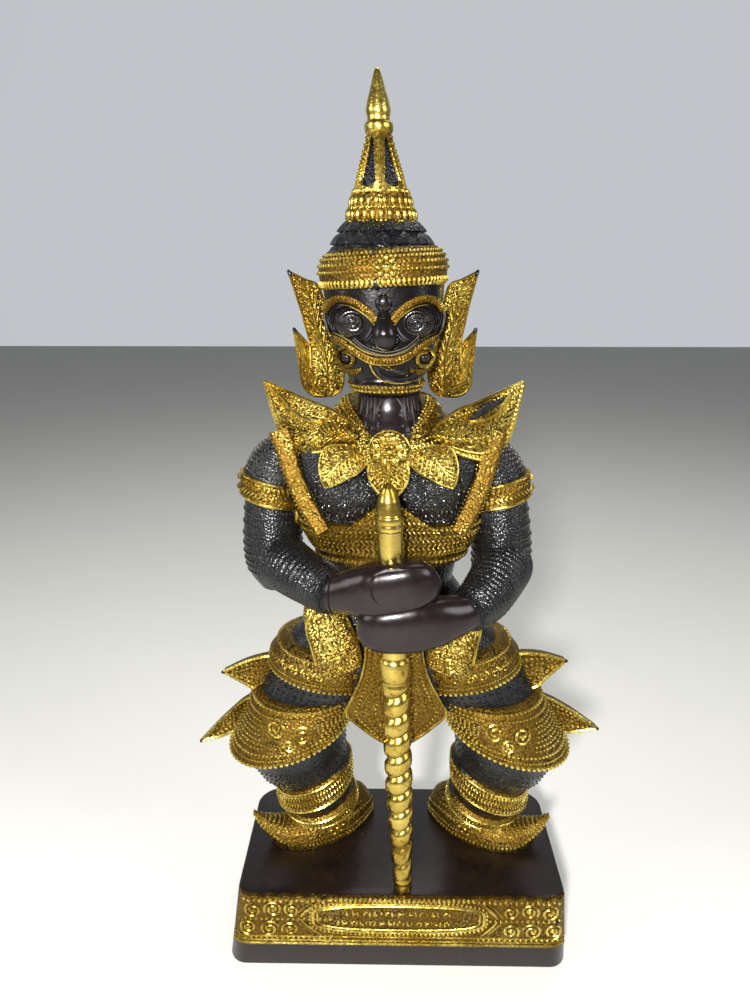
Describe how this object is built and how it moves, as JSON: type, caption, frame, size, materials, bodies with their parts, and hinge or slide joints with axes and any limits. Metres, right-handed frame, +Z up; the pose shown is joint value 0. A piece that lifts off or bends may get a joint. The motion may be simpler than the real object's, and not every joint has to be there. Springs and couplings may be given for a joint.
{
  "type": "thao wessuwan statue",
  "caption": "Cast guardian giant standing on a low plinth, both hands on a long club, with a spired crown, flared skirts and shoulder wings.",
  "frame": {"origin": "centre of the plinth's flat underside", "axes": "+X to the viewer's right, which is the figure's left; +Y to the back; +Z up; the figure faces -Y"},
  "size_m": [0.1947, 0.0916, 0.3965],
  "materials": {
    "gilding": "worn bright gilding with brown in the recesses",
    "brass": "smooth, softly polished",
    "dark_bronze": "semi-gloss dark brown patina"
  },
  "bodies": {
    "root": {"figure": "gilding", "club": "brass", "plinth": "dark_bronze"}
  },
  "joints": []
}
